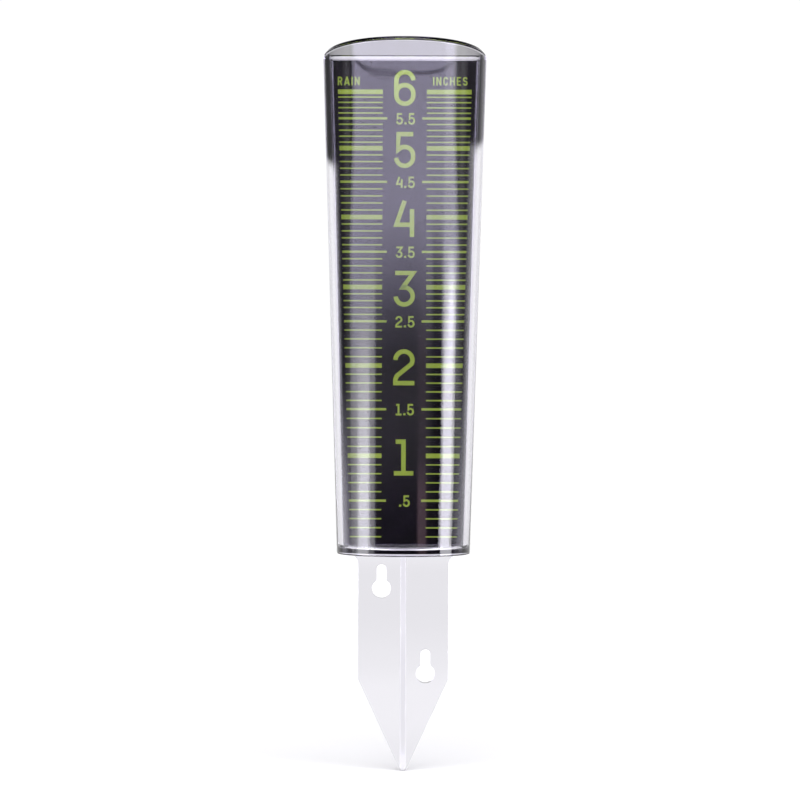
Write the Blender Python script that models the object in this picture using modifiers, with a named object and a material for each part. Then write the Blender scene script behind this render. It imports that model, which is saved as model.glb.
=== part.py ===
"""Manual rain gauge: a clear tapered measuring tube on a flat clear stake, with a black scale film behind it.

Units are metres, +Z is up and the front of the gauge faces -Y. The origin is on the back face of the
stake, on the centre line and midway between the two keyholes, so the back plane of the whole gauge is y = 0.
"""
import math

import bmesh
import bpy
from mathutils import Matrix

GAP = 0.0003                    # space kept between neighbouring solids

# Measuring tube: a D section, flat behind and a flattened half ellipse in front, wider at the mouth
SHOULDER_Z = 0.037              # underside of the tube
TUBE_HEIGHT = 0.2385
MOUTH_HALF_WIDTH = 0.0391
FLOOR_HALF_WIDTH = 0.0319
MOUTH_DEPTH = 0.0385
FLOOR_DEPTH = 0.0245
SECTION_POWER = 2.15            # 2 would be a true half ellipse
SECTION_STEPS = 44
LENS_WALL = 0.0028
BACK_WALL = 0.0024
TUBE_FLOOR = 0.0030
RIM_ROUND = 0.0007

# Scale film in its shallow recess on the outside of the back wall
FILM_THICKNESS = 0.0004
FILM_RECESS = FILM_THICKNESS + GAP
FILM_BELOW_RIM = 0.0022
FILM_ABOVE_SHOULDER = 0.0007
FILM_TOP_HALF_WIDTH = 0.0356
FILM_BOTTOM_HALF_WIDTH = 0.0300

# Stake: a flat blade with a pointed end, a central rib in front and two keyholes
BLADE_THICKNESS = 0.0024
BLADE_HALF_WIDTH = 0.0215
BLADE_STRAIGHT = 0.0602         # length below the tube before the blade narrows
STAKE_LENGTH = 0.104
TIP_RADIUS = 0.0019
SHOULDER_FILLET = 0.0048
EDGE_ROUND = 0.0003
RIB_WIDTH = 0.0029
RIB_TOP_DEPTH = 0.0075
RIB_TIP_DEPTH = 0.0022
RIB_TIP_MARGIN = 0.0034

# Keyholes: centre of the round part from the centre line and below the tube
KEYHOLE_CENTRES = ((-0.0104, 0.0167), (0.0107, 0.0573))
KEYHOLE_RADIUS = 0.00455
KEYHOLE_SLOT_RADIUS = 0.0024
KEYHOLE_SLOT_RISE = 0.0093      # from the centre of the round part to the centre of the slot's round end

CLEAR_COLOUR = (0.90, 0.90, 0.93, 1.0)
FILM_COLOUR = (0.012, 0.011, 0.014, 1.0)

RIM_Z = SHOULDER_Z + TUBE_HEIGHT
TIP_Z = SHOULDER_Z - STAKE_LENGTH


def clear_scene():
    for obj in list(bpy.data.objects):
        bpy.data.objects.remove(obj, do_unlink=True)


def new_collection(name):
    collection = bpy.data.collections.new(name)
    bpy.context.scene.collection.children.link(collection)
    return collection


def plastic(name, colour, roughness, transmission):
    material = bpy.data.materials.new(name)
    material.use_nodes = True
    shader = material.node_tree.nodes["Principled BSDF"]
    shader.inputs["Base Color"].default_value = colour
    shader.inputs["Roughness"].default_value = roughness
    shader.inputs["Metallic"].default_value = 0.0
    shader.inputs["Transmission Weight"].default_value = transmission
    material.diffuse_color = colour
    return material


def arc(centre, radius, start, end, steps):
    """Points on a circle from the start angle to the end angle, in degrees."""
    points = []
    for i in range(steps + 1):
        angle = math.radians(start + (end - start) * i / steps)
        points.append((centre[0] + radius * math.cos(angle), centre[1] + radius * math.sin(angle)))
    return points


def outline_curve(name, outlines, thickness):
    """A plate: the first outline is its edge, and any others are holes through it."""
    curve = bpy.data.curves.new(name, "CURVE")
    curve.dimensions = "2D"
    curve.fill_mode = "BOTH"
    curve.extrude = thickness / 2
    for outline in outlines:
        spline = curve.splines.new("POLY")
        spline.points.add(len(outline) - 1)
        spline.use_cyclic_u = True
        for point, (u, v) in zip(spline.points, outline):
            point.co = (u, v, 0.0, 1.0)
    return bpy.data.objects.new(name, curve)


def stand_facing_front(obj, centre_y):
    """Turns a plate drawn in X and Y so that its drawing's Y becomes Z."""
    obj.matrix_world = Matrix.Translation((0, centre_y, 0)) @ Matrix.Rotation(math.pi / 2, 4, "X")


def as_mesh(obj):
    """The same plate as one closed mesh, with the curve's loose caps welded on."""
    evaluated = obj.evaluated_get(bpy.context.evaluated_depsgraph_get())
    mesh = bpy.data.meshes.new_from_object(evaluated)
    work = bmesh.new()
    work.from_mesh(mesh)
    bmesh.ops.remove_doubles(work, verts=work.verts, dist=0.000001)
    work.to_mesh(mesh)
    work.free()
    solid = bpy.data.objects.new(obj.name, mesh)
    solid.matrix_world = obj.matrix_world
    curve = obj.data
    name = obj.name
    bpy.data.objects.remove(obj)
    bpy.data.curves.remove(curve)
    solid.name = name
    return solid


def round_edges(obj, width, segments=2):
    bevel = obj.modifiers.new("round_edges", "BEVEL")
    bevel.width = width
    bevel.segments = segments
    bevel.limit_method = "ANGLE"
    bevel.angle_limit = math.radians(50)


def add_part(obj, collection, material):
    collection.objects.link(obj)
    obj.data.materials.clear()
    obj.data.materials.append(material)


def plate(name, outlines, thickness, centre_y, collection, material):
    """A standing plate of the given outlines, linked and ready for modifiers."""
    curve = outline_curve(name, outlines, thickness)
    collection.objects.link(curve)
    stand_facing_front(curve, centre_y)
    bpy.context.view_layer.update()
    solid = as_mesh(curve)
    add_part(solid, collection, material)
    return solid


def half_section(half_width, depth, from_depth):
    """The curved front of the D, from the right side round to the left, starting from_depth in front of y = 0."""
    start = math.asin((from_depth / depth) ** (SECTION_POWER / 2))
    points = []
    for i in range(SECTION_STEPS + 1):
        angle = start + (math.pi - 2 * start) * i / SECTION_STEPS
        across = math.cos(angle)
        x = math.copysign(abs(across) ** (2 / SECTION_POWER), across) * half_width
        y = -depth * math.sin(angle) ** (2 / SECTION_POWER)
        points.append((x, y))
    return points


def lens_wall(collection, material):
    """The curved front and sides of the tube, lofted between the floor's section and the mouth's."""
    from_depth = BACK_WALL + GAP
    low = half_section(FLOOR_HALF_WIDTH, FLOOR_DEPTH, from_depth)
    high = half_section(MOUTH_HALF_WIDTH, MOUTH_DEPTH, from_depth)
    work = bmesh.new()
    bottom = [work.verts.new((x, y, SHOULDER_Z)) for x, y in low]
    top = [work.verts.new((x, y, RIM_Z)) for x, y in high]
    for i in range(SECTION_STEPS):
        work.faces.new((bottom[i + 1], bottom[i], top[i], top[i + 1]))
    bmesh.ops.recalc_face_normals(work, faces=work.faces)
    work.faces.ensure_lookup_table()
    front_face = work.faces[SECTION_STEPS // 2]
    if front_face.normal.y > 0:
        bmesh.ops.reverse_faces(work, faces=work.faces)
    mesh = bpy.data.meshes.new("lens_wall")
    work.to_mesh(mesh)
    work.free()
    mesh.shade_smooth()
    obj = bpy.data.objects.new("lens_wall", mesh)
    add_part(obj, collection, material)
    solidify = obj.modifiers.new("wall", "SOLIDIFY")
    solidify.thickness = LENS_WALL
    solidify.offset = -1
    solidify.use_even_offset = True
    round_edges(obj, RIM_ROUND)


def tapered_outline(half_low, half_high, z_low, z_high):
    return [(-half_low, z_low), (half_low, z_low), (half_high, z_high), (-half_high, z_high)]


def back_wall(collection, cutters, material):
    """The flat clear wall behind the tube, with the shallow recess that takes the film."""
    outline = tapered_outline(FLOOR_HALF_WIDTH, MOUTH_HALF_WIDTH, SHOULDER_Z, RIM_Z)
    wall = plate("back_wall", [outline], BACK_WALL, -BACK_WALL / 2, collection, material)
    recess_outline = tapered_outline(
        FILM_BOTTOM_HALF_WIDTH + GAP,
        FILM_TOP_HALF_WIDTH + GAP,
        SHOULDER_Z + FILM_ABOVE_SHOULDER - GAP,
        RIM_Z - FILM_BELOW_RIM + GAP,
    )
    recess = plate("film_recess_cutter", [recess_outline], 2 * FILM_RECESS, 0, cutters, material)
    recess.hide_render = True
    recess.display_type = "WIRE"
    cut = wall.modifiers.new("film_recess", "BOOLEAN")
    cut.operation = "DIFFERENCE"
    cut.solver = "EXACT"
    cut.object = recess


def tube_floor(collection, material):
    """The flat clear slab that closes the tube, inside the walls."""
    inset = LENS_WALL + GAP
    from_depth = BACK_WALL + GAP
    front = half_section(FLOOR_HALF_WIDTH - inset, FLOOR_DEPTH - inset, from_depth)
    floor = outline_curve("tube_floor", [front], TUBE_FLOOR)
    collection.objects.link(floor)
    floor.matrix_world = Matrix.Translation((0, 0, SHOULDER_Z + TUBE_FLOOR / 2))
    bpy.context.view_layer.update()
    add_part(as_mesh(floor), collection, material)


def scale_film(collection, material):
    outline = tapered_outline(
        FILM_BOTTOM_HALF_WIDTH,
        FILM_TOP_HALF_WIDTH,
        SHOULDER_Z + FILM_ABOVE_SHOULDER,
        RIM_Z - FILM_BELOW_RIM,
    )
    plate("scale_film", [outline], FILM_THICKNESS, -FILM_THICKNESS / 2, collection, material)


def blade_outline():
    """Half of the blade from the tip up to the flared shoulder, then the other half mirrored."""
    top_z = SHOULDER_Z - GAP
    narrow_z = SHOULDER_Z - BLADE_STRAIGHT
    half_angle = math.atan2(BLADE_HALF_WIDTH, narrow_z - TIP_Z)
    tip_centre = (0.0, TIP_Z + TIP_RADIUS)
    lean = math.degrees(half_angle)
    right = arc(tip_centre, TIP_RADIUS, -90, -lean, 5)
    right.append((BLADE_HALF_WIDTH, narrow_z))
    fillet_centre = (BLADE_HALF_WIDTH + SHOULDER_FILLET, top_z - SHOULDER_FILLET)
    right += arc(fillet_centre, SHOULDER_FILLET, 180, 118, 6)
    right.append((right[-1][0], top_z))
    left = [(-x, z) for x, z in reversed(right) if x > 0]
    return right + left


def keyhole_outline(centre_x, below_tube):
    """A round hole with a narrower slot rising from it."""
    centre_z = SHOULDER_Z - below_tube
    meet = math.degrees(math.acos(KEYHOLE_SLOT_RADIUS / KEYHOLE_RADIUS))
    big = arc((centre_x, centre_z), KEYHOLE_RADIUS, 180 - meet, 360 + meet, 22)
    slot_end = (centre_x, centre_z + KEYHOLE_SLOT_RISE)
    return big + arc(slot_end, KEYHOLE_SLOT_RADIUS, 0, 180, 10)


def stake_blade(collection, material):
    outlines = [blade_outline()]
    for centre_x, below_tube in KEYHOLE_CENTRES:
        outlines.append(keyhole_outline(centre_x, below_tube))
    blade = plate("stake_blade", outlines, BLADE_THICKNESS, -BLADE_THICKNESS / 2, collection, material)
    round_edges(blade, EDGE_ROUND, segments=1)


def stake_rib(collection, material):
    """The stiffening rib down the front of the blade, deepest under the tube."""
    root_y = -(BLADE_THICKNESS + GAP)
    top_z = SHOULDER_Z - GAP
    low_z = TIP_Z + RIB_TIP_MARGIN
    profile = [
        (root_y, low_z),
        (root_y, top_z),
        (root_y - RIB_TOP_DEPTH, top_z),
        (root_y - RIB_TIP_DEPTH, low_z + RIB_TIP_DEPTH),
        (root_y - RIB_TIP_DEPTH / 2, low_z),
    ]
    rib = outline_curve("stake_rib", [profile], RIB_WIDTH)
    collection.objects.link(rib)
    sideways = Matrix(((0, 0, 1, 0), (1, 0, 0, 0), (0, 1, 0, 0), (0, 0, 0, 1)))
    rib.matrix_world = sideways
    bpy.context.view_layer.update()
    solid = as_mesh(rib)
    add_part(solid, collection, material)
    round_edges(solid, EDGE_ROUND, segments=1)


def main():
    clear_scene()
    parts = new_collection("rain_gauge")
    cutters = new_collection("rain_gauge_cutters")
    clear = plastic("clear_plastic", CLEAR_COLOUR, 0.05, 0.95)
    film = plastic("scale_film_black", FILM_COLOUR, 0.12, 0.0)
    lens_wall(parts, clear)
    back_wall(parts, cutters, clear)
    tube_floor(parts, clear)
    scale_film(parts, film)
    stake_blade(parts, clear)
    stake_rib(parts, clear)


main()
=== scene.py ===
"""Looks of the manual rain gauge: a clear moulding, the black scale film behind it and its green print.

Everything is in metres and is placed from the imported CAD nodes. The front of the gauge faces -Y.
"""
import math

import bmesh
import bpy
from mathutils import Matrix, Vector


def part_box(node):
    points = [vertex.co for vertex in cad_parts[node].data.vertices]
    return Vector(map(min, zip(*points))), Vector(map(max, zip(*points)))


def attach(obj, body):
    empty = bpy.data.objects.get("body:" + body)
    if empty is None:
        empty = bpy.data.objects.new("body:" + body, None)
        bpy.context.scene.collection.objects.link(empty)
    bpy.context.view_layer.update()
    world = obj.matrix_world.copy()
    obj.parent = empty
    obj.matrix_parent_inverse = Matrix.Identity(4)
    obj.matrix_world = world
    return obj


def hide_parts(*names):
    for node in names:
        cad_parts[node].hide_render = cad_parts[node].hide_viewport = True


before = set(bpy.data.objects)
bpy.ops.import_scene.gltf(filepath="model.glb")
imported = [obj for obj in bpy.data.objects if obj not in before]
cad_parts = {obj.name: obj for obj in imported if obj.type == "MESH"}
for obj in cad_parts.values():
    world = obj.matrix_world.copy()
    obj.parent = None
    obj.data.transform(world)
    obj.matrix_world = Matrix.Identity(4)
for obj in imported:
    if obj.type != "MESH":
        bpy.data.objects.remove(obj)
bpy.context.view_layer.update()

# ---- Sizes that the frame gives -------------------------------------------------------------------------
lens_low, lens_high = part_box("lens_wall")
back_low, back_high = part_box("back_wall")
floor_low, floor_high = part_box("tube_floor")
film_low, film_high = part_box("scale_film")
blade_low, blade_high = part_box("stake_blade")
rib_low, rib_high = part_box("stake_rib")

GAP = 0.0003                                  # the CAD's space between neighbouring solids
RIM_Z = lens_high.z
SHOULDER_Z = lens_low.z
TIP_Z = blade_low.z
MOUTH_HALF_WIDTH = back_high.x
MOUTH_DEPTH = -lens_low.y
BACK_WALL = -back_low.y
TUBE_FLOOR_Z = floor_high.z

# ---- Sizes of the design that the boxes don't give, as part.py has them ----------------------------------
LENS_WALL = 0.0028
SECTION_POWER = 2.15
FLOOR_HALF_WIDTH = floor_high.x + LENS_WALL + GAP + 0.00015
FLOOR_DEPTH = -floor_low.y + LENS_WALL + GAP
FILM_TOP_HALF_WIDTH = film_high.x
FILM_BOTTOM_HALF_WIDTH = 0.0300
FILM_THICKNESS = film_high.y - film_low.y
BLADE_THICKNESS = blade_high.y - blade_low.y
BLADE_HALF_WIDTH = 0.0215
BLADE_STRAIGHT = 0.0602         # length below the tube before the blade narrows
TIP_RADIUS = 0.0019
SHOULDER_FILLET = 0.0048
RIB_WIDTH = rib_high.x - rib_low.x
RIB_TIP_DEPTH = 0.0022
KEYHOLE_CENTRES = ((-0.0104, 0.0167), (0.0107, 0.0573))     # to the right, and down from the tube
KEYHOLE_RADIUS = 0.00455
KEYHOLE_SLOT_RADIUS = 0.0024
KEYHOLE_SLOT_RISE = 0.0093

# ---- Camera: square to the gauge, level, a little below the middle of the tube ---------------------------
CAMERA_DISTANCE = 0.742
CAMERA_BELOW_RIM = 0.1842
SENSOR_MM = 36
LENS_MM = 69.57
SHIFT_RIGHT = -0.004625                       # lens shift, as a share of the picture's width
SHIFT_UP = 0.05
ROLL_DEGREES = 0.19


# ---- Small mesh helpers ----------------------------------------------------------------------------------
def new_object(name, mesh):
    obj = bpy.data.objects.new(name, mesh)
    bpy.context.scene.collection.objects.link(obj)
    return obj


def mesh_object(name, work):
    mesh = bpy.data.meshes.new(name)
    work.to_mesh(mesh)
    work.free()
    return new_object(name, mesh)


def apply_modifiers(obj):
    """The object's evaluated mesh becomes its own, with no modifier left."""
    evaluated = obj.evaluated_get(bpy.context.evaluated_depsgraph_get())
    mesh = bpy.data.meshes.new_from_object(evaluated)
    obj.modifiers.clear()
    obj.data = mesh
    return obj


def boolean(obj, operation, other):
    modifier = obj.modifiers.new(operation.lower(), "BOOLEAN")
    modifier.operation = operation
    modifier.solver = "EXACT"
    modifier.object = other
    apply_modifiers(obj)
    bpy.data.objects.remove(other)
    return obj


def round_edges(obj, width, segments, angle=50):
    bevel = obj.modifiers.new("round_edges", "BEVEL")
    bevel.width = width
    bevel.segments = segments
    bevel.limit_method = "ANGLE"
    bevel.angle_limit = math.radians(angle)
    return apply_modifiers(obj)


def arc(centre, radius, start, end, steps):
    """Points on a circle, or on an ellipse if radius is a pair, from start to end in degrees."""
    across, up = radius if isinstance(radius, tuple) else (radius, radius)
    points = []
    for i in range(steps + 1):
        angle = math.radians(start + (end - start) * i / steps)
        points.append((centre[0] + across * math.cos(angle), centre[1] + up * math.sin(angle)))
    return points


def standing_plate(name, outlines, thickness, centre_y):
    """A plate drawn in X and Z, with the outlines after the first as holes through it."""
    curve = bpy.data.curves.new(name, "CURVE")
    curve.dimensions = "2D"
    curve.fill_mode = "BOTH"
    curve.extrude = thickness / 2
    for outline in outlines:
        spline = curve.splines.new("POLY")
        spline.points.add(len(outline) - 1)
        spline.use_cyclic_u = True
        for point, (u, v) in zip(spline.points, outline):
            point.co = (u, v, 0.0, 1.0)
    drawn = new_object(name, curve)
    mesh = bpy.data.meshes.new_from_object(drawn.evaluated_get(bpy.context.evaluated_depsgraph_get()))
    mesh.transform(Matrix.Translation((0, centre_y, 0)) @ Matrix.Rotation(math.pi / 2, 4, "X"))
    bpy.data.objects.remove(drawn)
    work = bmesh.new()
    work.from_mesh(mesh)
    bmesh.ops.remove_doubles(work, verts=work.verts, dist=0.000001)
    bmesh.ops.dissolve_limit(work, angle_limit=0.01, verts=work.verts, edges=work.edges)
    bmesh.ops.recalc_face_normals(work, faces=work.faces)
    bpy.data.meshes.remove(mesh)
    return mesh_object(name, work)


# ---- The clear moulding ----------------------------------------------------------------------------------
SECTION_FRONT_STEPS = 120
SECTION_CORNER_STEPS = 8
SECTION_BACK_STEPS = 24
OUTER_CORNER = 0.0012
INNER_CORNER = 0.0016
UNDERSIDE_ROUND = 0.0006
FLOOR_ROUND = 0.0018
RIM_RISE = 0.0017               # height of the rim's rounding
RIM_STEPS = 16
RIM_POWER = 1.15                # 2 would be a half ellipse; less leans in sooner
WALL_RINGS = 14
EDGE_RING = 0.0003              # a ring this far from each rounding keeps the wall beyond it truly straight
FLOOR_MEAN_RADIUS = 0.6         # of the inner floor, as a share of its half width
BONDED = 0.00002                # how far the film's front sinks into the plastic that it is stuck to
RECESS_MARGIN = 0.00015
BLADE_ROOT = 0.0004             # how far the blade reaches up into the tube's underside
RIB_ROOT = 0.0006
RIB_END_ABOVE_TIP = 0.0010      # where the rib has run out to nothing
RIB_END_DEPTH = 0.0001
RIB_FADE = 0.0110               # length over which it does so
PLASTIC_INDEX = 1.53
QUIET_INDEX = 1.06              # of the back wall's inside, so that it mirrors almost nothing


def d_section(half_width, depth, back_y, corner):
    """A closed D: a flattened half ellipse in front, and a flat back at back_y with rounded corners."""
    start_y = corner - back_y
    start = math.asin((start_y / depth) ** (SECTION_POWER / 2))
    front = []
    for i in range(SECTION_FRONT_STEPS + 1):
        angle = start + (math.pi - 2 * start) * i / SECTION_FRONT_STEPS
        across = math.cos(angle)
        x = math.copysign(abs(across) ** (2 / SECTION_POWER), across) * half_width
        front.append((x, -depth * math.sin(angle) ** (2 / SECTION_POWER)))
    edge_x = front[0][0]
    left_corner = arc((-edge_x + corner, back_y - corner), corner, 180, 90, SECTION_CORNER_STEPS)
    right_corner = arc((edge_x - corner, back_y - corner), corner, 90, 0, SECTION_CORNER_STEPS)
    back = []
    for i in range(1, SECTION_BACK_STEPS):
        share = i / SECTION_BACK_STEPS
        back.append(((edge_x - corner) * (2 * share - 1), back_y))
    return front + left_corner[1:] + back + right_corner[:-1]


def tube_section(z, inward):
    """The tube's section at height z, from the outer surface at 0 to the inner one at 1."""
    share = (z - SHOULDER_Z) / (RIM_Z - SHOULDER_Z)
    half_width = FLOOR_HALF_WIDTH + (MOUTH_HALF_WIDTH - FLOOR_HALF_WIDTH) * share
    depth = FLOOR_DEPTH + (MOUTH_DEPTH - FLOOR_DEPTH) * share
    outer = d_section(half_width, depth, 0.0, OUTER_CORNER)
    inner = d_section(half_width - LENS_WALL, depth - LENS_WALL, -BACK_WALL, INNER_CORNER)
    return [(a[0] + (b[0] - a[0]) * inward, a[1] + (b[1] - a[1]) * inward) for a, b in zip(outer, inner)]


def wall_heights(start_z, end_z):
    """Heights of the rings between two roundings, with one ring close to each of them."""
    step = math.copysign(EDGE_RING, end_z - start_z)
    near, far = start_z + step, end_z - step
    return [near + (far - near) * i / WALL_RINGS for i in range(WALL_RINGS + 1)]


def tube_rings():
    """The tube's skin as rings, from the underside up the outside, over the rim and down to the floor."""
    rings = []
    edge = UNDERSIDE_ROUND / LENS_WALL
    for i in range(5):
        angle = math.radians(90 * i / 4)
        rings.append((SHOULDER_Z + UNDERSIDE_ROUND * (1 - math.cos(angle)), edge * (1 - math.sin(angle))))
    top_z = RIM_Z - RIM_RISE
    rings += [(z, 0.0) for z in wall_heights(SHOULDER_Z + UNDERSIDE_ROUND, top_z)]
    for i in range(RIM_STEPS + 1):
        angle = math.pi * i / RIM_STEPS
        across = math.copysign(abs(math.cos(angle)) ** (2 / RIM_POWER), math.cos(angle))
        rings.append((top_z + RIM_RISE * max(0.0, math.sin(angle)) ** (2 / RIM_POWER), (1 - across) / 2))
    low_z = TUBE_FLOOR_Z + FLOOR_ROUND
    rings += [(z, 1.0) for z in wall_heights(top_z, low_z)]
    rings.append((low_z, 1.0))
    return [[(x, y, z) for x, y in tube_section(z, inward)] for z, inward in rings]


def floor_rings(last_ring):
    """Carries the inner wall round the fillet onto the floor."""
    centre = Vector((0, -FLOOR_DEPTH / 2, 0))
    reach = FLOOR_HALF_WIDTH - LENS_WALL
    rings = []
    for i in range(1, 6):
        angle = math.radians(90 * i / 5)
        shrink = 1 - FLOOR_ROUND * (1 - math.cos(angle)) / (FLOOR_MEAN_RADIUS * reach)
        z = TUBE_FLOOR_Z + FLOOR_ROUND * (1 - math.sin(angle))
        rings.append([(centre.x + (x - centre.x) * shrink, centre.y + (y - centre.y) * shrink, z)
                      for x, y, _ in last_ring])
    return rings


def build_tube():
    rings = tube_rings()
    rings += floor_rings(rings[-1])
    work = bmesh.new()
    loops = [[work.verts.new(point) for point in ring] for ring in rings]
    count = len(loops[0])
    for lower, upper in zip(loops, loops[1:]):
        for i in range(count):
            j = (i + 1) % count
            work.faces.new((lower[j], lower[i], upper[i], upper[j]))
    work.faces.new(loops[0])
    work.faces.new(list(reversed(loops[-1])))
    bmesh.ops.recalc_face_normals(work, faces=work.faces)
    return mesh_object("clear_moulding", work)


def film_outline(margin):
    low_z = film_low.z - margin
    high_z = film_high.z + margin
    low = FILM_BOTTOM_HALF_WIDTH + margin
    high = FILM_TOP_HALF_WIDTH + margin
    return [(-low, low_z), (low, low_z), (high, high_z), (-high, high_z)]


def blade_outline(top_z):
    """The right half from the rounded tip up to the flared shoulder, then the left half."""
    narrow_z = SHOULDER_Z - BLADE_STRAIGHT
    lean = math.degrees(math.atan2(BLADE_HALF_WIDTH, narrow_z - TIP_Z))
    right = arc((0.0, TIP_Z + TIP_RADIUS), TIP_RADIUS, -90, -lean, 8)
    right.append((BLADE_HALF_WIDTH, narrow_z))
    fillet_centre = (BLADE_HALF_WIDTH + SHOULDER_FILLET, SHOULDER_Z - GAP - SHOULDER_FILLET)
    right += arc(fillet_centre, SHOULDER_FILLET, 180, 118, 10)
    right.append((right[-1][0], top_z))
    left = [(-x, z) for x, z in reversed(right) if x > 0]
    return right + left


def keyhole_outline(centre_x, below_tube):
    centre_z = SHOULDER_Z - below_tube
    meet = math.degrees(math.acos(KEYHOLE_SLOT_RADIUS / KEYHOLE_RADIUS))
    big = arc((centre_x, centre_z), KEYHOLE_RADIUS, 180 - meet, 360 + meet, 40)
    return big + arc((centre_x, centre_z + KEYHOLE_SLOT_RISE), KEYHOLE_SLOT_RADIUS, 0, 180, 18)


def build_blade(top_z):
    outlines = [blade_outline(top_z)]
    for centre_x, below_tube in KEYHOLE_CENTRES:
        outlines.append(keyhole_outline(centre_x, below_tube))
    blade = standing_plate("blade", outlines, BLADE_THICKNESS, -BLADE_THICKNESS / 2)
    return round_edges(blade, 0.0003, 2)


def build_rib(top_z):
    """The rib, rooted inside the blade, with a rounded nose."""
    root_y = -BLADE_THICKNESS * 0.5
    low_z = TIP_Z + RIB_END_ABOVE_TIP
    top_y = rib_low.y
    tip_y = -(BLADE_THICKNESS + GAP) - RIB_TIP_DEPTH
    profile = [
        (root_y, low_z),
        (root_y, top_z),
        (top_y, top_z),
        (top_y, SHOULDER_Z),
        (tip_y, low_z + RIB_FADE),
        (-BLADE_THICKNESS - RIB_END_DEPTH, low_z),
    ]
    work = bmesh.new()
    half = RIB_WIDTH / 2
    sides = []
    for x in (-half, half):
        sides.append([work.verts.new((x, y, z)) for y, z in profile])
    left, right = sides
    work.faces.new(left)
    work.faces.new(list(reversed(right)))
    for i in range(len(left)):
        j = (i + 1) % len(left)
        work.faces.new((left[i], left[j], right[j], right[i]))
    bmesh.ops.recalc_face_normals(work, faces=work.faces)
    return round_edges(mesh_object("rib", work), 0.0004, 2, angle=30)


def shade_curved_faces(mesh):
    """Curved skin is smooth, while faces square to an axis stay truly flat."""
    mesh.shade_smooth()
    mesh.set_sharp_from_angle(angle=math.radians(50))
    for face in mesh.polygons:
        if max(abs(part) for part in face.normal) > 0.9999:
            face.use_smooth = False


def mark_quiet_face(mesh):
    """The flat inside of the back wall takes the second material."""
    for face in mesh.polygons:
        on_back_wall = abs(face.center.y + BACK_WALL) < 0.00001 and face.center.z > SHOULDER_Z
        if on_back_wall and face.normal.y < -0.9999:
            face.material_index = 1


def build_moulding():
    tube = build_tube()
    recess = standing_plate("recess", [film_outline(RECESS_MARGIN)], 2 * (FILM_THICKNESS - BONDED), 0.0)
    boolean(tube, "DIFFERENCE", recess)
    boolean(tube, "UNION", build_blade(SHOULDER_Z + BLADE_ROOT))
    boolean(tube, "UNION", build_rib(SHOULDER_Z + RIB_ROOT))
    shade_curved_faces(tube.data)
    plastic = clear_plastic("clear_plastic_look", PLASTIC_INDEX)
    quiet_plastic = clear_plastic("back_wall_inside_look", QUIET_INDEX)
    dress(tube, plastic, quiet_plastic)
    mark_quiet_face(tube.data)
    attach(tube, "root")
    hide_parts("lens_wall", "back_wall", "tube_floor", "stake_blade", "stake_rib")
    return tube


# ---- The scale film --------------------------------------------------------------------------------------
def build_film():
    """The film at its CAD size, with its bonded front and its open back as two materials."""
    film = standing_plate("printed_film", [film_outline(0.0)], FILM_THICKNESS, -FILM_THICKNESS / 2)
    dress(film, film_front(), film_back())
    for face in film.data.polygons:
        face.material_index = 1 if face.normal.y > 0.5 else 0
    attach(film, "root")
    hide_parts("scale_film")
    return film


# ---- The print: marks, numerals and words as thin ink ----------------------------------------------------
INK_THICKNESS = 0.00005
INK_BACK_Y = film_low.y - 0.000005
SCALE_ZERO_Z = TUBE_FLOOR_Z + 0.0008
HALF_INCH_HEIGHTS = (0.0, 21.6, 43.1, 65.4, 86.3, 107.5, 123.9, 140.8, 157.4, 174.3, 190.4, 204.7, 217.4)
MARK_INNER = 0.0106             # from the centre line to the inner ends of the marks
MARK_OUTER_LOW = 0.0255         # from the centre line to the outer ends, at 0 and at 6 inches
MARK_OUTER_HIGH = 0.0324
MARK_TENTH = 0.00064
MARK_HALF = 0.00110
MARK_INCH = 0.00222
HALF_REACH = 0.0022             # how much further in the half inch marks run
STROKE_LIFT = 0.000003          # crossing strokes lie this far above each other
NUMERAL_HEIGHT = 0.0173
NUMERAL_STROKE = 0.124          # this and the other strokes and spacings are shares of the height
NUMERAL_DROP = 0.0008           # the numerals' middles lie this far below their marks
SIX_RISE = 0.0019               # the topmost numeral lies above its mark instead
HALF_HEIGHT = 0.0053
HALF_STROKE = 0.165
HALF_SPACING = 0.15
HALF_DROP = 0.0002
HALF_TO_RIGHT = 0.0004
POINT_STROKE = 1.1              # the decimal point is this much bolder than the strokes
WORD_HEIGHT = 0.0041
WORD_STROKE = 0.16
WORD_SPACING = 0.225
WORD_RISE = 0.0031              # from the middle of the 6 inch mark to the foot of the words
UNIT_INSET = 0.0022             # from the marks' outer ends to the end of the unit


def scale_z(inches):
    """Height of a reading, between the heights of the half inches."""
    low = min(int(inches * 2), len(HALF_INCH_HEIGHTS) - 2)
    share = inches * 2 - low
    height = HALF_INCH_HEIGHTS[low] + (HALF_INCH_HEIGHTS[low + 1] - HALF_INCH_HEIGHTS[low]) * share
    return SCALE_ZERO_Z + height / 1000


def ink_slab(work, outline, lift=0.0):
    """A thin slab of ink over an outline in X and Z."""
    front = [work.verts.new((x, INK_BACK_Y - INK_THICKNESS - lift, z)) for x, z in outline]
    back = [work.verts.new((x, INK_BACK_Y, z)) for x, z in outline]
    work.faces.new(front)
    work.faces.new(list(reversed(back)))
    for i in range(len(front)):
        j = (i + 1) % len(front)
        work.faces.new((front[j], front[i], back[i], back[j]))


def mark_outer(z):
    share = (z - scale_z(0)) / (scale_z(6) - scale_z(0))
    return MARK_OUTER_LOW + (MARK_OUTER_HIGH - MARK_OUTER_LOW) * share


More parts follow.
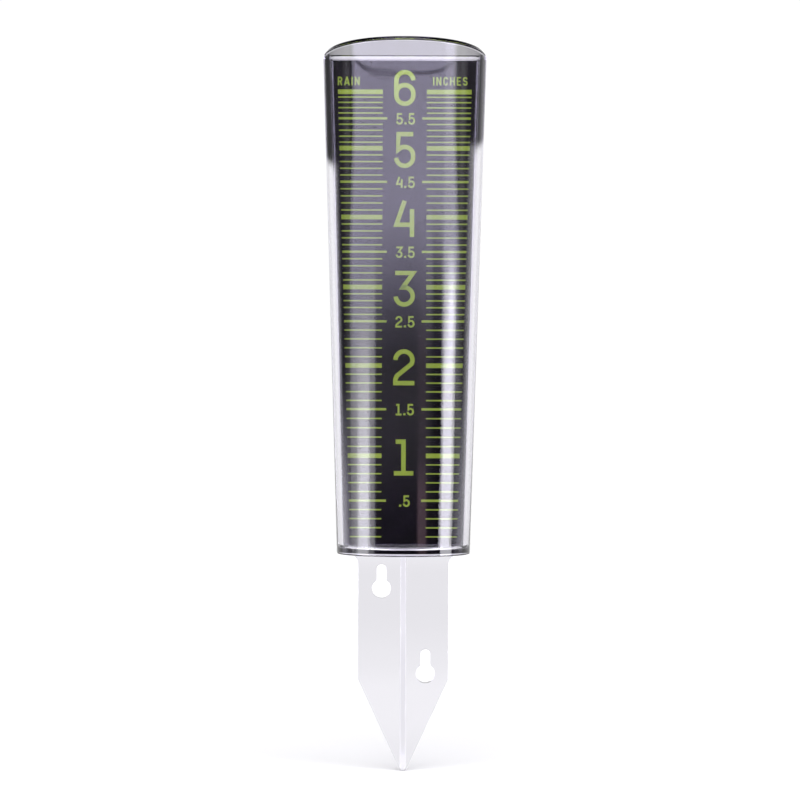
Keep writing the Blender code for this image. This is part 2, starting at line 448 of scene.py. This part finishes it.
def build_marks():
    work = bmesh.new()
    for tenth in range(1, 61):
        z = scale_z(tenth / 10)
        inner = MARK_INNER
        thickness = MARK_TENTH
        if tenth % 10 == 0:
            thickness = MARK_INCH
        elif tenth % 5 == 0:
            thickness = MARK_HALF
            inner -= HALF_REACH
        low_z, high_z = z - thickness / 2, z + thickness / 2
        for side in (-1, 1):
            ink_slab(work, [(side * inner, low_z), (side * mark_outer(low_z), low_z),
                            (side * mark_outer(high_z), high_z), (side * inner, high_z)])
    bmesh.ops.recalc_face_normals(work, faces=work.faces)
    return mesh_object("scale_marks", work)


def glyphs():
    """Each glyph in a box 1 high: its width, and strokes along their centre lines."""
    foot, head = 0.062, 0.938
    left, middle = 0.062, 0.2975
    round_low, round_high = 0.2975, 0.7025
    bow = middle - left
    six_bowl = arc((middle, 0.345), bow, 180, 0, 14)
    six_bowl += arc((middle, round_low), bow, 0, -180, 14) + [(left, 0.345)]
    six_neck = arc((middle, round_high), bow, 2, 180, 16) + [(left, 0.30)]
    five_bowl = arc((middle, 0.350), bow, 141, 0, 14) + arc((middle, round_low), bow, 0, -176, 18)
    three_bowl = arc((middle, 0.302), bow, 100, -176, 24)
    two_top = arc((middle, round_high), bow, 180, -28, 20)
    c_top = arc((0.28, 0.68), (0.20, 0.24), 5, 180, 12)
    c_foot = arc((0.28, 0.32), (0.20, 0.24), 180, 355, 12)
    r_bow = arc((0.28, 0.69), (0.19, 0.23), 90, -90, 12)
    s_top = arc((0.28, 0.71), (0.20, 0.21), 8, 270, 16)
    s_foot = arc((0.28, 0.29), (0.20, 0.21), 90, -172, 16)
    return {
        "1": (0.535, [[(0.046, head), (0.262, head), (0.262, 0.08)], [(0.0, foot), (0.535, foot)]]),
        "2": (0.595, [two_top + [(0.105, 0.265), (left, 0.17), (left, foot), (0.585, foot)]]),
        "3": (0.595, [[(0.045, head), (0.545, head), (0.272, 0.555)] + three_bowl]),
        "4": (0.570, [[(0.290, 1.0), (0.062, 0.338), (0.50, 0.338)], [(0.496, 0.77), (0.496, 0.0)]]),
        "5": (0.595, [[(0.535, head), (0.128, head), (0.112, 0.50)] + five_bowl]),
        "6": (0.595, [six_neck, six_bowl]),
        ".": (0.200, [[(0.0, 0.09), (0.2, 0.09)]]),
        "A": (0.620, [[(0.04, 0.0), (0.29, 0.93), (0.33, 0.93), (0.58, 0.0)],
                      [(0.13, 0.27), (0.49, 0.27)]]),
        "C": (0.560, [c_top + c_foot]),
        "E": (0.500, [[(0.48, 0.92), (0.08, 0.92), (0.08, 0.08), (0.48, 0.08)],
                      [(0.08, 0.50), (0.43, 0.50)]]),
        "H": (0.580, [[(0.08, 0.0), (0.08, 1.0)], [(0.50, 0.0), (0.50, 1.0)],
                      [(0.08, 0.50), (0.50, 0.50)]]),
        "I": (0.160, [[(0.08, 0.0), (0.08, 1.0)]]),
        "N": (0.600, [[(0.08, 0.0), (0.08, 1.0)], [(0.09, 0.96), (0.51, 0.04)],
                      [(0.52, 0.0), (0.52, 1.0)]]),
        "R": (0.570, [[(0.08, 0.0), (0.08, 0.92), (0.28, 0.92)] + r_bow + [(0.08, 0.46)],
                      [(0.29, 0.46), (0.49, 0.0)]]),
        "S": (0.560, [s_top + s_foot]),
    }


def ribbon(points, width):
    """Both edges of a stroke of constant width along points, with square ends and mitred corners."""
    half = width / 2
    path = [Vector(points[0])]
    for point in points[1:]:
        if (Vector(point) - path[-1]).length > width / 20:
            path.append(Vector(point))
    directions = [(b - a).normalized() for a, b in zip(path, path[1:])]
    left = []
    right = []
    for i, here in enumerate(path):
        before = directions[max(i - 1, 0)]
        after = directions[min(i, len(directions) - 1)]
        along = (before + after).normalized()
        across = Vector((-along.y, along.x))
        reach = half / max(0.5, across.dot(Vector((-before.y, before.x))))
        left.append(here + across * reach)
        right.append(here - across * reach)
    return left, right


def ink_stroke(work, points, width, origin, height, lift):
    """One stroke as a strip of thin slabs that share their ends."""
    left, right = ribbon(points, width)
    front_y = INK_BACK_Y - INK_THICKNESS - lift
    rows = []
    for a, b in zip(left, right):
        row = []
        for point, y in ((a, front_y), (b, front_y), (b, INK_BACK_Y), (a, INK_BACK_Y)):
            row.append(work.verts.new((origin[0] + point.x * height, y, origin[1] + point.y * height)))
        rows.append(row)
    for lower, upper in zip(rows, rows[1:]):
        for i in range(4):
            j = (i + 1) % 4
            work.faces.new((lower[i], lower[j], upper[j], upper[i]))
    work.faces.new(rows[0])
    work.faces.new(list(reversed(rows[-1])))


def text_width(text, height, spacing):
    shapes = glyphs()
    return (sum(shapes[letter][0] for letter in text) + spacing * (len(text) - 1)) * height


def write_text(work, text, left_x, low_z, height, stroke, spacing):
    """Writes a word or number in strokes, its lower left corner at left_x and low_z."""
    shapes = glyphs()
    x = left_x
    for letter in text:
        width, strokes = shapes[letter]
        for i, points in enumerate(strokes):
            thickness = stroke * POINT_STROKE if letter == "." else stroke
            ink_stroke(work, points, thickness, (x, low_z), height, i * STROKE_LIFT)
        x += (width + spacing) * height


def build_numerals():
    work = bmesh.new()
    for inch in range(1, 7):
        text = str(inch)
        middle_z = scale_z(inch) + (SIX_RISE if inch == 6 else -NUMERAL_DROP)
        left_x = -text_width(text, NUMERAL_HEIGHT, 0) / 2
        low_z = middle_z - NUMERAL_HEIGHT / 2
        write_text(work, text, left_x, low_z, NUMERAL_HEIGHT, NUMERAL_STROKE, 0)
    bmesh.ops.recalc_face_normals(work, faces=work.faces)
    return mesh_object("inch_numerals", work)


def build_half_numerals():
    work = bmesh.new()
    for half in range(1, 12, 2):
        text = (str(half // 2) if half > 1 else "") + ".5"
        width = text_width(text, HALF_HEIGHT, HALF_SPACING)
        left_x = -width / 2 + HALF_TO_RIGHT
        low_z = scale_z(half / 2) - HALF_HEIGHT / 2 - HALF_DROP
        write_text(work, text, left_x, low_z, HALF_HEIGHT, HALF_STROKE, HALF_SPACING)
    bmesh.ops.recalc_face_normals(work, faces=work.faces)
    return mesh_object("half_inch_numerals", work)


def build_words():
    """The unit, and a plain word that says what is measured."""
    work = bmesh.new()
    low_z = scale_z(6) + WORD_RISE
    outer = mark_outer(low_z)
    unit_x = outer - UNIT_INSET - text_width("INCHES", WORD_HEIGHT, WORD_SPACING)
    for word, left_x in (("RAIN", -outer), ("INCHES", unit_x)):
        write_text(work, word, left_x, low_z, WORD_HEIGHT, WORD_STROKE, WORD_SPACING)
    bmesh.ops.recalc_face_normals(work, faces=work.faces)
    return mesh_object("scale_words", work)


# ---- Materials -------------------------------------------------------------------------------------------
def dress(obj, *materials):
    """Gives the object its materials, all faces taking the first."""
    obj.data.materials.clear()
    for material in materials:
        obj.data.materials.append(material)


def new_material(name):
    material = bpy.data.materials.new(name)
    material.use_nodes = True
    return material, material.node_tree, material.node_tree.nodes["Principled BSDF"]


def node(tree, kind, **settings):
    made = tree.nodes.new(kind)
    for key, value in settings.items():
        setattr(made, key, value)
    return made


def noise(tree, place, scale, detail=2.0, stretch=(1, 1, 1)):
    """A noise pattern on the object's own coordinates, in metres; scale is in blobs a metre."""
    mapping = node(tree, "ShaderNodeMapping")
    mapping.inputs["Scale"].default_value = [scale * s for s in stretch]
    tree.links.new(place, mapping.inputs["Vector"])
    made = node(tree, "ShaderNodeTexNoise")
    made.inputs["Scale"].default_value = 1.0
    made.inputs["Detail"].default_value = detail
    tree.links.new(mapping.outputs[0], made.inputs["Vector"])
    return made.outputs["Fac"]


def remap(tree, value, low, high, to_low, to_high):
    made = node(tree, "ShaderNodeMapRange")
    tree.links.new(value, made.inputs["Value"])
    made.inputs["From Min"].default_value = low
    made.inputs["From Max"].default_value = high
    made.inputs["To Min"].default_value = to_low
    made.inputs["To Max"].default_value = to_high
    return made.outputs["Result"]


def bump(tree, shader, height, depth):
    """Relief of this depth in metres."""
    made = node(tree, "ShaderNodeBump")
    made.inputs["Strength"].default_value = 1.0
    made.inputs["Distance"].default_value = depth
    tree.links.new(height, made.inputs["Height"])
    tree.links.new(made.outputs["Normal"], shader.inputs["Normal"])


def mottled(tree, shader, value, dark, light):
    """Base colour between two shades, by a pattern."""
    made = node(tree, "ShaderNodeMix", data_type="RGBA")
    tree.links.new(value, made.inputs["Factor"])
    made.inputs["A"].default_value = (*dark, 1)
    made.inputs["B"].default_value = (*light, 1)
    tree.links.new(made.outputs["Result"], shader.inputs["Base Color"])


def clear_plastic(name, index):
    """Clear moulded plastic: faintly lavender, with slow ripples up the tube, haze and a few smudges."""
    material, tree, shader = new_material(name)
    shader.inputs["Base Color"].default_value = (0.905, 0.895, 0.935, 1)
    shader.inputs["Transmission Weight"].default_value = 1.0
    shader.inputs["IOR"].default_value = index
    place = node(tree, "ShaderNodeTexCoord").outputs["Object"]
    smudges = noise(tree, place, 60, 5.0)
    tree.links.new(remap(tree, smudges, 0.45, 0.75, 0.012, 0.034), shader.inputs["Roughness"])
    bump(tree, shader, noise(tree, place, 70, 0.0, (1, 1, 0.16)), 0.000018)
    absorb = node(tree, "ShaderNodeVolumeAbsorption")
    absorb.inputs["Color"].default_value = (0.80, 0.78, 0.86, 1)
    absorb.inputs["Density"].default_value = 40
    tree.links.new(absorb.outputs[0], tree.nodes["Material Output"].inputs["Volume"])
    return material


def film_front():
    """The printed side, wetted by its adhesive, so that only the plastic over it reflects."""
    material, tree, shader = new_material("film_front_look")
    shader.inputs["Specular IOR Level"].default_value = 0.0
    place = node(tree, "ShaderNodeTexCoord").outputs["Object"]
    mottled(tree, shader, noise(tree, place, 160, 4.0), (0.007, 0.006, 0.009), (0.016, 0.012, 0.018))
    shader.inputs["Roughness"].default_value = 0.6
    return material


def film_back():
    """The open back of the film: satin black, with a fine grain and long soft rub marks."""
    material, tree, shader = new_material("film_back_look")
    place = node(tree, "ShaderNodeTexCoord").outputs["Object"]
    rubbed = noise(tree, place, 45, 4.0, (1, 1, 0.2))
    mottled(tree, shader, rubbed, (0.004, 0.004, 0.005), (0.030, 0.029, 0.033))
    tree.links.new(remap(tree, noise(tree, place, 90, 4.0), 0.3, 0.7, 0.18, 0.5), shader.inputs["Roughness"])
    bump(tree, shader, noise(tree, place, 2500, 2.0), 0.00001)
    return material


def green_ink():
    """Lime ink, a little thin in places."""
    material, tree, shader = new_material("green_ink_look")
    shader.inputs["Specular IOR Level"].default_value = 0.0
    place = node(tree, "ShaderNodeTexCoord").outputs["Object"]
    mottled(tree, shader, noise(tree, place, 900, 3.0), (0.315, 0.45, 0.042), (0.39, 0.525, 0.075))
    shader.inputs["Roughness"].default_value = 0.6
    return material


# ---- Studio ----------------------------------------------------------------------------------------------
# The light is painted on the world as a function of direction. Azimuth is 0 on the camera's side and grows
# to the viewer's right, aside is its size without its sign, and elevation grows upwards, all in degrees.
SEEN_WHITE = 1.02               # the plain white that the camera itself sees
ROOM = 0.03                     # light from directions where nothing stands
OVERHEAD = 2.5
OVERHEAD_DIP = 0.75             # share of the overhead light that is missing low on the right
BAR_BEND = 0.00052              # how fast the thin bar rises to the sides
LEFT_WIDE = 2.2
LEFT_CORE = 5.6
RIGHT_CORE = 0.9
RIGHT_CORE_LOW = 8.0            # added to it further down
TABLE_LOW = 0.95                # white table, far below the eye level
BACKDROP_OVER = 0.46            # what is left of the backdrop over its upper edge, straight behind


def math_node(tree, operation, a, b=None):
    """One calculation on one or two values, each a number or a node's output."""
    made = node(tree, "ShaderNodeMath", operation=operation)
    for socket, value in zip(made.inputs, (a, b)):
        if value is None:
            continue
        if isinstance(value, (int, float)):
            socket.default_value = value
        else:
            tree.links.new(value, socket)
    return made.outputs[0]


def ramp(tree, value, start, end):
    """0 at start and 1 at end, smoothly, whichever is larger."""
    made = node(tree, "ShaderNodeMapRange", interpolation_type="SMOOTHSTEP")
    tree.links.new(value, made.inputs["Value"])
    made.inputs["From Min"].default_value = start
    made.inputs["From Max"].default_value = end
    made.inputs["To Min"].default_value = 0
    made.inputs["To Max"].default_value = 1
    return made.outputs["Result"]


def times(tree, *factors):
    value = factors[0]
    for factor in factors[1:]:
        value = math_node(tree, "MULTIPLY", value, factor)
    return value


def plus(tree, *terms):
    value = terms[0]
    for term in terms[1:]:
        value = math_node(tree, "ADD", value, term)
    return value


def band(tree, value, low, low_full, high_full, high):
    """1 between the two full values, falling softly to 0 at the outer two."""
    return times(tree, ramp(tree, value, low, low_full), ramp(tree, value, high, high_full))


def minus(tree, a, b):
    return math_node(tree, "SUBTRACT", a, b)


def above_zero(tree, value):
    return math_node(tree, "MAXIMUM", value, 0.0)


def backdrop_share(tree, azimuth, aside):
    """1 where the backdrop stands, which starts further round on the left."""
    on_left = ramp(tree, azimuth, 5, -5)
    return ramp(tree, minus(tree, aside, times(tree, on_left, 10)), 100, 112)


def backdrop_light(tree, azimuth, aside, elevation):
    """White backdrop behind, up to a little above the eye level, and a darker room over and beside it."""
    behind = backdrop_share(tree, azimuth, aside)
    to_right = ramp(tree, azimuth, -5, 5)
    edge = plus(tree, 9.25, times(tree, to_right, 0.65))
    over = minus(tree, plus(tree, elevation, times(tree, minus(tree, 150, aside), 0.043)), edge)
    right_corner = plus(tree, 0.03, times(tree, ramp(tree, aside, 144, 152), 0.17))
    corner = plus(tree, 0.01, times(tree, to_right, right_corner))
    off_centre = ramp(tree, aside, 163, 158)
    upper = plus(tree, BACKDROP_OVER, times(tree, off_centre, minus(tree, corner, BACKDROP_OVER)))
    dim_top = times(tree, band(tree, elevation, -8.6, -6.2, -5.0, -4.0), 0.075)
    bright_foot = times(tree, band(tree, elevation, -11.6, -10.2, -9.2, -8.2), 0.055)
    lower = plus(tree, minus(tree, 1.0, dim_top), bright_foot)
    level = plus(tree, lower, times(tree, ramp(tree, over, -0.2, 0.25), minus(tree, upper, lower)))
    return times(tree, behind, level)


def table_light(tree, azimuth, aside, elevation):
    """White table at both sides, brighter towards the backdrop, and everywhere further down."""
    no_backdrop = minus(tree, 1, backdrop_share(tree, azimuth, aside))
    beside = times(tree, ramp(tree, aside, 76, 84), no_backdrop)
    level = plus(tree, 0.8, times(tree, ramp(tree, aside, 92, 106), 1.1))
    near = times(tree, beside, plus(tree, 0.05, times(tree, ramp(tree, elevation, 0, -7), level)))
    lower = times(tree, ramp(tree, elevation, -13, -17), no_backdrop)
    return plus(tree, times(tree, near, minus(tree, 1, lower)), times(tree, lower, TABLE_LOW))


def overhead_light(tree, azimuth, aside, elevation):
    """Wide soft light in front and above, narrower towards its top, with one thin bent bar across it."""
    narrowing = math_node(tree, "MINIMUM", above_zero(tree, minus(tree, elevation, 3)), 4)
    from_left = minus(tree, times(tree, narrowing, 2.0), azimuth)
    from_right = plus(tree, times(tree, narrowing, 3), azimuth)
    across = times(tree, ramp(tree, from_left, 84.5, 79), ramp(tree, from_right, 86, 79))
    dip = times(tree, band(tree, azimuth, 33, 38, 50, 56), ramp(tree, elevation, 3.5, -1), OVERHEAD_DIP)
    above_bar = minus(tree, elevation, times(tree, aside, aside, BAR_BEND))
    bar_depth = plus(tree, 0.6, times(tree, ramp(tree, azimuth, 5, -5), 0.3))
    bar = times(tree, band(tree, above_bar, 6.56, 6.60, 6.70, 6.74), bar_depth)
    high = times(tree, ramp(tree, elevation, 22, 40), 0.2)
    dimmed = minus(tree, 1, plus(tree, bar, high))
    return times(tree, across, ramp(tree, elevation, -3.9, 2.9), minus(tree, 1, dip), dimmed, OVERHEAD)


def side_lights(tree, azimuth, elevation):
    """A narrow light at each side of the camera, brightest below the eye level."""
    left_wide = times(tree, band(tree, azimuth, -86, -80, -39, -34), LEFT_WIDE)
    left_core = times(tree, band(tree, azimuth, -74, -64, -49, -43), LEFT_CORE)
    left = plus(tree, times(tree, left_wide, ramp(tree, elevation, 2.5, -3)),
                times(tree, left_core, ramp(tree, elevation, 1.0, -8)))
    fall = plus(tree, 3, times(tree, above_zero(tree, minus(tree, 66, azimuth)), 0.6))
    down = math_node(tree, "DIVIDE", minus(tree, 3, elevation), fall)
    right_level = plus(tree, RIGHT_CORE, times(tree, ramp(tree, down, 0, 1), RIGHT_CORE_LOW))
    turned = minus(tree, azimuth, times(tree, ramp(tree, elevation, -8.5, -5.5), 3))
    right_core = times(tree, band(tree, turned, 48, 52, 70, 77), right_level)
    return plus(tree, left, right_core)


def warm_light(tree, azimuth, elevation):
    """A faint warm streak to the right of the camera, stronger at its foot."""
    foot = times(tree, ramp(tree, elevation, -6.8, -8.8), 0.38)
    level = plus(tree, times(tree, ramp(tree, elevation, 1, -3), 0.10), foot)
    return times(tree, band(tree, azimuth, 13, 18, 25, 30), ramp(tree, elevation, -16, -12), level)


def room_light(tree, azimuth, aside, elevation):
    """What the dark room gives: a faint glow below the camera and pale walls at both sides."""
    glow_height = band(tree, elevation, -10, -5.5, -3.5, -1)
    glow = times(tree, band(tree, azimuth, -40, -30, 30, 40), glow_height, 0.18)
    wall_height = times(tree, ramp(tree, elevation, -6, -2), ramp(tree, elevation, 12, 9))
    wall_level = plus(tree, 0.36, times(tree, ramp(tree, azimuth, -5, 5), 0.2))
    walls = times(tree, band(tree, aside, 76, 84, 90, 98), wall_height, wall_level)
    return plus(tree, ROOM, glow, walls)


def tinted(tree, strength, colour):
    """A light's strength as a colour."""
    made = node(tree, "ShaderNodeVectorMath", operation="SCALE")
    made.inputs[0].default_value = colour
    tree.links.new(strength, made.inputs["Scale"])
    return made.outputs[0]


def studio_light(tree, azimuth, elevation):
    """The studio's light in a direction, as a colour."""
    aside = math_node(tree, "ABSOLUTE", azimuth)
    overhead = overhead_light(tree, azimuth, aside, elevation)
    high = ramp(tree, elevation, 12, 24)
    room = room_light(tree, azimuth, aside, elevation)
    backdrop = backdrop_light(tree, azimuth, aside, elevation)
    lights = (
        tinted(tree, plus(tree, room, backdrop), (1.0, 1.0, 1.0)),
        tinted(tree, table_light(tree, azimuth, aside, elevation), (1.0, 0.98, 1.10)),
        tinted(tree, times(tree, overhead, minus(tree, 1, high)), (1.02, 0.97, 1.27)),
        tinted(tree, times(tree, overhead, high), (1.0, 1.0, 1.0)),
        tinted(tree, side_lights(tree, azimuth, elevation), (1.0, 0.99, 1.06)),
        tinted(tree, warm_light(tree, azimuth, elevation), (1.35, 0.88, 1.0)),
    )
    total = lights[0]
    for light in lights[1:]:
        made = node(tree, "ShaderNodeVectorMath", operation="ADD")
        tree.links.new(total, made.inputs[0])
        tree.links.new(light, made.inputs[1])
        total = made.outputs[0]
    return total


def studio_world():
    """The camera sees plain white, and the gauge sees the studio."""
    world = bpy.data.worlds.new("studio")
    bpy.context.scene.world = world
    world.use_nodes = True
    tree = world.node_tree
    tree.nodes.clear()
    direction = node(tree, "ShaderNodeTexCoord").outputs["Generated"]
    split = node(tree, "ShaderNodeSeparateXYZ")
    tree.links.new(direction, split.inputs[0])
    x, y, z = split.outputs
    to_front = math_node(tree, "MULTIPLY", y, -1)
    azimuth = math_node(tree, "MULTIPLY", math_node(tree, "ARCTAN2", x, to_front), 180 / math.pi)
    elevation = math_node(tree, "MULTIPLY", math_node(tree, "ARCSINE", z), 180 / math.pi)
    white = node(tree, "ShaderNodeBackground")
    white.inputs["Color"].default_value = (1, 1, 1, 1)
    white.inputs["Strength"].default_value = SEEN_WHITE
    painted = node(tree, "ShaderNodeBackground")
    painted.inputs["Strength"].default_value = 1.0
    tree.links.new(studio_light(tree, azimuth, elevation), painted.inputs["Color"])
    seen = node(tree, "ShaderNodeLightPath")
    mix = node(tree, "ShaderNodeMixShader")
    tree.links.new(seen.outputs["Is Camera Ray"], mix.inputs[0])
    tree.links.new(painted.outputs[0], mix.inputs[1])
    tree.links.new(white.outputs[0], mix.inputs[2])
    output = node(tree, "ShaderNodeOutputWorld")
    tree.links.new(mix.outputs[0], output.inputs["Surface"])


def studio_floor():
    """A plain white floor, which the gauge doesn't mirror."""
    work = bmesh.new()
    bmesh.ops.create_grid(work, x_segments=1, y_segments=1, size=1.1)
    obj = mesh_object("studio_floor", work)
    obj.location = (0, 0.3, TIP_Z)
    material, tree, shader = new_material("studio_floor_look")
    place = node(tree, "ShaderNodeTexCoord").outputs["Object"]
    mottled(tree, shader, noise(tree, place, 9, 3.0), (0.94, 0.94, 0.935), (0.97, 0.97, 0.965))
    shader.inputs["Roughness"].default_value = 0.9
    shader.inputs["Emission Color"].default_value = (1, 1, 1, 1)
    shader.inputs["Emission Strength"].default_value = 0.16
    obj.data.materials.append(material)
    obj.visible_glossy = False
    obj.visible_transmission = False


def camera():
    data = bpy.data.cameras.new("camera")
    data.sensor_width = SENSOR_MM
    data.lens = LENS_MM
    data.shift_x = SHIFT_RIGHT
    data.shift_y = SHIFT_UP
    obj = bpy.data.objects.new("camera", data)
    bpy.context.scene.collection.objects.link(obj)
    facing = Matrix.Rotation(math.pi / 2, 4, "X")
    roll = Matrix.Rotation(math.radians(ROLL_DEGREES), 4, "Z")
    place = Matrix.Translation((0, -CAMERA_DISTANCE, RIM_Z - CAMERA_BELOW_RIM))
    obj.matrix_world = place @ facing @ roll
    bpy.context.scene.camera = obj


# ---- Assembly --------------------------------------------------------------------------------------------
bpy.context.scene.view_settings.view_transform = "Standard"
camera()
studio_world()
studio_floor()

build_moulding()
build_film()
ink = green_ink()
for piece in (build_marks(), build_numerals(), build_half_numerals(), build_words()):
    dress(piece, ink)
    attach(piece, "root")
